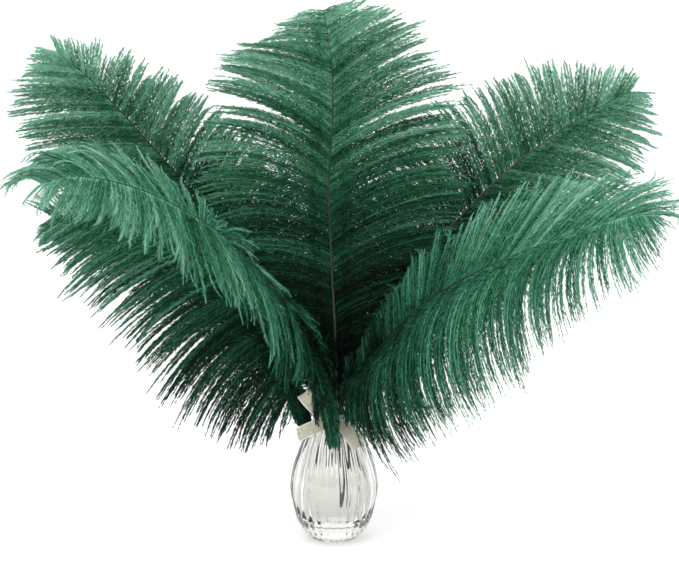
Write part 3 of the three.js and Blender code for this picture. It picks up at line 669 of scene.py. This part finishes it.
def rachis_mesh(shaft, plume, around=10, stations=70):
    """A tapering shaft, grooved along its underside and cut to a point at the quill's end."""
    s = np.concatenate([[0, 2, 5], np.linspace(9, shaft.length, stations - 3)])
    place, slope = shaft.at(s)
    bare = np.clip((s - plume["bare"]) / (shaft.length - plume["bare"]), 0, 1)
    face = blend(plume["faces"], bare)
    side = unit(np.cross(slope, face))
    up = np.cross(side, slope)
    radius = QUILL_RADIUS + (RACHIS_TIP_RADIUS - QUILL_RADIUS) * bare ** 0.8
    radius[:3] *= (0.25, 0.7, 0.95)  # the cut point
    a = np.arange(around) * 2 * math.pi / around
    groove = 1 - 0.22 * np.clip(-np.sin(a), 0, 1) ** 6
    ring = (side[:, None] * np.cos(a)[None, :, None] + up[:, None] * np.sin(a)[None, :, None])
    verts = place[:, None] + ring * (radius[:, None] * groove[None])[..., None]
    n = len(s)
    i, j = np.meshgrid(np.arange(n - 1), np.arange(around), indexing="ij")
    a0, a1 = i * around + j, i * around + (j + 1) % around
    b0, b1 = a0 + around, a1 + around
    tris = np.concatenate([np.stack([a0, a1, b1], -1).reshape(-1, 3),
                           np.stack([a0, b1, b0], -1).reshape(-1, 3)])
    fan = np.arange(1, around - 1)
    tris = np.concatenate([tris, np.stack([0 * fan, fan + 1, fan], -1),
                           (n - 1) * around + np.stack([0 * fan, fan, fan + 1], -1)])
    return verts.reshape(-1, 3), tris


def lock_numbers(count, rng, low, high):
    """Which lock each barb is in, and how many locks there are."""
    numbers, k = np.zeros(count, int), 0
    start = 0
    while start < count:
        end = min(count, start + int(rng.integers(low, high)))
        numbers[start:end] = k
        start, k = end, k + 1
    return numbers, k


def draw_together(paths, locks, u, pull, begin):
    """Barbs of one lock draw together towards its end."""
    lock_count = locks.max() + 1
    centre = np.zeros((lock_count,) + paths.shape[1:])
    np.add.at(centre, locks, paths)
    centre /= np.bincount(locks, minlength=lock_count)[:, None, None]
    weight = np.clip(pull, 0, 0.92)[locks][:, None]
    begin = begin[locks][:, None]
    weight = weight * smoothstep((u[None] - begin) / (1 - begin))
    return paths + weight[..., None] * (centre[locks] - paths)


def ruffle(paths, start, N, T, u, hook, rng):
    """Loose ends: a slow ripple, and a hook at the very end."""
    count = len(paths)
    ripple = rng.uniform(0, 2 * math.pi, count)[:, None]
    wave = np.sin(ripple + u[None] * rng.uniform(4, 9, count)[:, None]) * (u ** 1.5)[None] * 0.9
    paths = paths + (wave * rng.normal(0, 0.6, count)[:, None])[..., None] * T[:, None]
    paths += (wave * rng.normal(0, 0.8, count)[:, None])[..., None] * N[:, None]
    turn = unit(-0.7 * start + rng.normal(0, 0.5, (count, 3)))
    reach = hook * np.clip(rng.normal(0.8, 0.5, count), 0, 2)[:, None]
    return paths + (reach * (np.clip(u[None] - 0.75, 0, 1) / 0.25) ** 2)[..., None] * turn[:, None]


def vane_barbs(shaft, plume, side_name, dress, rng):
    """All barbs on one side, from the first short ones low on the rachis to the plume's tip.

    T runs along the rachis, S out to the vane's right and N out of its face.
    """
    hand = 0 if side_name == "left" else 1
    count = dress["barbs"][hand]
    first = -dress["skirt"] / (shaft.length - plume["bare"])
    spacing = ((np.arange(count) + 0.5) / count) ** dress.get("crowd", (1, 1))[hand]
    t = first + (1 - first) * spacing + rng.normal(0, 0.15 / count, count)
    place, T = shaft.at(plume["bare"] + (shaft.length - plume["bare"]) * t)
    t = np.clip(t, 0, 1)
    S = unit(np.cross(T, blend(plume["faces"], t)))
    N = np.cross(S, T)
    sign = 1 if side_name == "right" else -1
    length, angle, lift, back, droop, curl = [blend(v, t) for v in plume[side_name]]
    length = length * (0.4 + 0.6 * smoothstep((np.arange(count) / count) / (-1.6 * first)))
    locks, lock_count = lock_numbers(count, rng, *dress["lock"])

    def per_lock(values):
        return values[locks]

    length = length * per_lock(rng.normal(1.0, dress["uneven"], lock_count))
    length = length * rng.normal(1.0, dress["uneven"], count)
    # long barbs stray by less of an angle than short ones
    stray = np.clip(50 / length, 0.3, 1)
    loft = dress["loft"]
    angle = angle + stray * (per_lock(rng.normal(0, 0.9, lock_count)) + rng.normal(0, loft * 0.25, count))
    lift = lift + stray * (per_lock(rng.normal(0, loft, lock_count)) + rng.normal(0, loft * 0.6, count))
    curl = curl + stray * per_lock(rng.normal(0, 0.08, lock_count))
    back = back + stray * per_lock(rng.normal(0, 0.06, lock_count))
    a, l = np.radians(angle)[:, None], np.radians(lift)[:, None]
    start = np.cos(a) * T + np.sin(a) * (sign * S * np.cos(l) + N * np.sin(l))
    bend = -back[:, None] * T + curl[:, None] * N + droop[:, None] * np.array([0, 0, -1.0])
    u = np.linspace(0, 1, BARB_STEPS + 1)
    L = length[:, None, None]
    paths = place[:, None] + L * start[:, None] * u[None, :, None] \
        + 0.5 * L * bend[:, None] * (u ** 2)[None, :, None]
    pull = rng.uniform(0.4, 1.3, lock_count) * dress["close"][hand]
    paths = draw_together(paths, locks, u, pull, rng.uniform(*dress["from"], lock_count))
    paths = ruffle(paths, start, N, T, u, dress["hook"][hand], rng)
    tone = 0.5 + 0.14 * per_lock(rng.normal(0, 1, lock_count)) + 0.26 * rng.normal(0, 1, count)
    return Barbs(t, length, N, paths, np.clip(tone, 0, 1))


def down_barbs(shaft, plume, dress, rng):
    """The soft down round the rachis where the vane begins, standing out on all sides."""
    count = DOWN_BARBS
    run = rng.uniform(-dress["skirt"], 42, count)
    place, T = shaft.at(plume["bare"] + run)
    t = np.clip(run / (shaft.length - plume["bare"]), 0, 1)
    S = unit(np.cross(T, blend(plume["faces"], t)))
    N = np.cross(S, T)
    turn = rng.uniform(0, 2 * math.pi, count)[:, None]
    lean = np.radians(rng.uniform(18, 42, count))[:, None]
    start = np.cos(lean) * T + np.sin(lean) * (np.cos(turn) * S + np.sin(turn) * N)
    length = rng.uniform(16, 34, count) * (0.6 + 0.4 * smoothstep((run + dress["skirt"]) / 30))
    u = np.linspace(0, 1, BARB_STEPS + 1)
    paths = place[:, None] + length[:, None, None] * (
        start[:, None] * u[None, :, None] + 0.25 * (start - T)[:, None] * (u ** 2)[None, :, None])
    paths = ruffle(paths, start, N, T, u, 1.5, rng)
    return Barbs(np.zeros(count), length, N, paths, rng.uniform(0, 0.5, count))


def tuft_barbs(shaft, tuft, rng):
    """Long basal barbs that have fallen over and hang down beside the holder."""
    count = tuft["barbs"]
    place, T = shaft.at(rng.uniform(*tuft["along"], count))
    spread = rng.uniform(-1, 1, (count, 3)) * tuft["spread"]
    end = np.array(tuft["end"]) + spread
    middle = place + 0.5 * (end - place) + np.array(tuft["past"]) + 0.5 * spread * (1, 1, 0)
    u = np.linspace(0, 1, BARB_STEPS + 1)
    w = u[None, :, None]
    paths = (1 - w) ** 2 * place[:, None] + 2 * w * (1 - w) * middle[:, None] + w ** 2 * end[:, None]
    start = unit(middle - place)
    N = unit(np.cross(start, np.cross((0.0, -1.0, 0.2), start)))
    locks, lock_count = lock_numbers(count, rng, 5, 9)
    paths = draw_together(paths, locks, u, np.full(lock_count, 0.3), np.full(lock_count, 0.5))
    paths = ruffle(paths, start, N, T, u, 2.0, rng)
    length = np.linalg.norm(np.diff(paths, axis=1), axis=2).sum(1)
    return Barbs(np.full(count, 0.3), length, N, paths, np.clip(rng.normal(0.4, 0.3, count), 0, 1))


def shade_at(t, u, look):
    """Painted shade, deep at the vane's start and beside the rachis where the plumes crowd together, and
    painted light towards the ends and the plume's tip.
    """
    depth, glow, ends = look
    grown = depth + (0.4 - depth) * smoothstep(t / 0.7) + (0.2 + glow) * t * t
    return grown + ends * u * (0.12 + 0.34 * smoothstep(t / 0.5))


def barb_mesh(barbs, look):
    """Each barb with its close bed of down: a closed roof-shaped blade, with a painted highlight along its
    ridge and painted shade along its edges.
    """
    paths = barbs.paths
    count, steps = paths.shape[:2]
    along = unit(np.gradient(paths, axis=1))
    across = unit(np.cross(along, barbs.N[:, None]))
    up = np.cross(across, along)
    u = np.linspace(0, 1, steps)
    half = (BARB_HALF_WIDTH * (1.25 - 0.25 * smoothstep(u / 0.15)) * (1 - u) ** 0.6 + 0.04)[None, :, None]
    verts = np.stack([paths + half * across, paths + up * half * BARB_RIDGE, paths - half * across], 2)
    base = (np.arange(count)[:, None] * steps + np.arange(steps - 1)[None]) * 3
    tris = []
    for k in range(3):
        n = (k + 1) % 3
        tris.append(np.stack([base + k, base + 3 + n, base + n], -1).reshape(-1, 3))
        tris.append(np.stack([base + k, base + 3 + k, base + 3 + n], -1).reshape(-1, 3))
    root = np.arange(count) * steps * 3
    end = root + (steps - 1) * 3
    tris.append(np.stack([root, root + 1, root + 2], -1))
    tris.append(np.stack([end, end + 2, end + 1], -1))
    low = shade_at(barbs.t[:, None], u[None], look)
    # painted shade along the blade's two edges and a painted highlight along its ridge
    shade = np.stack([low - 0.26, low + 0.18, low - 0.26], -1).ravel()
    return verts.reshape(-1, 3), np.concatenate(tris), shade, np.repeat(barbs.tone, steps * 3)


def barbule_mesh(barbs, look, lean, total, rng):
    """Fine side threads all along the barbs, one narrow triangle each."""
    paths, length = barbs.paths, barbs.length
    count, steps = paths.shape[:2]
    share = length / length.sum()
    which = rng.choice(count, size=total, p=share)
    u = rng.uniform(0.0, 1.0, total) ** 0.85
    # one in ten grows close to the rachis
    u = np.where(rng.uniform(0, 1, total) < 0.1, u * 0.14, u)
    x = u * (steps - 1)
    k = np.minimum(x.astype(int), steps - 2)
    f = (x - k)[:, None]
    root = paths[which, k] * (1 - f) + paths[which, k + 1] * f
    along = unit(paths[which, k + 1] - paths[which, k])
    normal = barbs.N[which]
    across = unit(np.cross(along, normal))
    up = np.cross(across, along)
    sign = rng.choice([-1.0, 1.0], total)
    roll = rng.normal(-0.12, 0.5, total)
    # towards a barb's end they lie closer to it, and are shorter and finer
    lean = np.radians(rng.uniform(*lean, total) * (1 - 0.55 * u ** 2))
    aside = (sign * np.cos(roll))[:, None] * across + np.sin(roll)[:, None] * up
    heading = np.cos(lean)[:, None] * along + np.sin(lean)[:, None] * aside
    size = rng.uniform(*BARBULE_LENGTH, total) * (1 - 0.6 * u ** 4) * np.clip(length[which] / 45, 0.5, 1)
    size *= 0.65 + 0.35 * smoothstep(u / 0.12)
    width = rng.uniform(*BARBULE_WIDTH, total)[:, None] * (1 - 0.35 * u ** 3)[:, None]
    tip = root + heading * size[:, None]
    flat = unit(np.cross(heading, rng.normal(0, 0.5, (total, 3)) + normal))
    verts = np.stack([root - flat * width / 2, root + flat * width / 2, tip], 1)
    tris = np.arange(total * 3).reshape(-1, 3)
    low = shade_at(barbs.t[which], u, look)
    # painted shade: the side threads are darker than the barbs, for the shade in the bed between them, and
    # darker at their roots than at their tips
    deep = low + rng.normal(-0.15, 0.12, total)
    shade = np.stack([deep - 0.08, deep - 0.08, deep + 0.08], -1).ravel()
    return verts.reshape(-1, 3), tris, shade, np.repeat(barbs.tone[which], 3)


def mesh_object(name, parts, smooth):
    """Joins (verts, tris, shade, tone) parts into one object. The first `smooth` parts are shaded smooth.

    The first part, the rachis, takes the first material and all the others take the second.
    """
    offsets = np.cumsum([0] + [len(p[0]) for p in parts])
    verts = np.concatenate([p[0] for p in parts]) * MM
    tris = np.concatenate([p[1] + o for p, o in zip(parts, offsets)])
    mesh = bpy.data.meshes.new(name)
    mesh.vertices.add(len(verts))
    mesh.vertices.foreach_set("co", verts.ravel().astype(np.float32))
    mesh.loops.add(tris.size)
    mesh.loops.foreach_set("vertex_index", tris.ravel().astype(np.int32))
    mesh.polygons.add(len(tris))
    mesh.polygons.foreach_set("loop_start", np.arange(0, tris.size, 3, dtype=np.int32))
    flags = np.zeros(len(tris), bool)
    flags[:sum(len(p[1]) for p in parts[:smooth])] = True
    mesh.polygons.foreach_set("use_smooth", flags)
    finish = np.ones(len(tris), np.int32)
    finish[:len(parts[0][1])] = 0
    mesh.polygons.foreach_set("material_index", finish)
    for k, label in ((2, "shade"), (3, "tone")):
        layer = mesh.attributes.new(label, "FLOAT", "POINT")
        layer.data.foreach_set("value", np.concatenate([p[k] for p in parts]).astype(np.float32))
    mesh.update()
    thing = bpy.data.objects.new(name, mesh)
    bpy.context.collection.objects.link(thing)
    return thing


def make_plume(name, keratin, dyed_barbs):
    """One plume: rachis and quill, both vanes, the down at their foot and, on three, a fallen tuft."""
    plume, dress = PLUMES[name], DRESS[name]
    rng = np.random.default_rng(dress["seed"])
    shaft = Shaft(plume["shaft"])
    verts, tris = rachis_mesh(shaft, plume)
    parts = [(verts, tris, np.full(len(verts), -0.2), np.full(len(verts), 0.5))]
    sides = [vane_barbs(shaft, plume, side, dress, rng) for side in ("left", "right")]
    sides.append(down_barbs(shaft, plume, dress, rng))
    if name in TUFTS:
        sides.append(tuft_barbs(shaft, TUFTS[name], rng))
    # painted light and shade for each kind of barb: the painted shade at the vane's start, the glow towards
    # the tip and the lighter ends
    ends = [*dress["ends"], 0.5, TUFTS.get(name, dress)["ends"]]
    looks = [(dress["depth"], dress["glow"], end) for end in ends[:len(sides)]]
    parts += [barb_mesh(side, look) for side, look in zip(sides, looks)]
    left_over = PLUME_TRIANGLES - sum(len(p[1]) for p in parts)
    reach = [side.length.sum() for side in sides]
    for side, look, length in zip(sides, looks, reach):
        share = int(left_over * length / sum(reach))
        parts.append(barbule_mesh(side, look, dress["lean"], share, rng))
    thing = mesh_object(f"ostrich_{name}", parts, smooth=1 + len(sides))
    thing.data.materials.append(keratin)
    thing.data.materials.append(dyed_barbs)
    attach(thing, "root")
    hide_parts(f"plume_{name}")


# ---------------------------------------------------------------- the arrangement

aim_camera()
light_studio()
sweep_stage()
make_vase()
make_ribbon()
# the two front plumes take a lighter copy of the same dye ramp: painted light, with a little more sheen
deep_barbs = barb_material("dyed_ostrich_barbs", DEEP_DYE_AND_SHADE, 0.06)
front_lit_barbs = barb_material("dyed_ostrich_barbs_fluffed_and_lit", FRONT_LIT_DYE_AND_SHADE, 0.12)
shaft_keratin = shaft_material()
for plume_name in PLUMES:
    make_plume(plume_name, shaft_keratin, front_lit_barbs if plume_name.endswith("front") else deep_barbs)
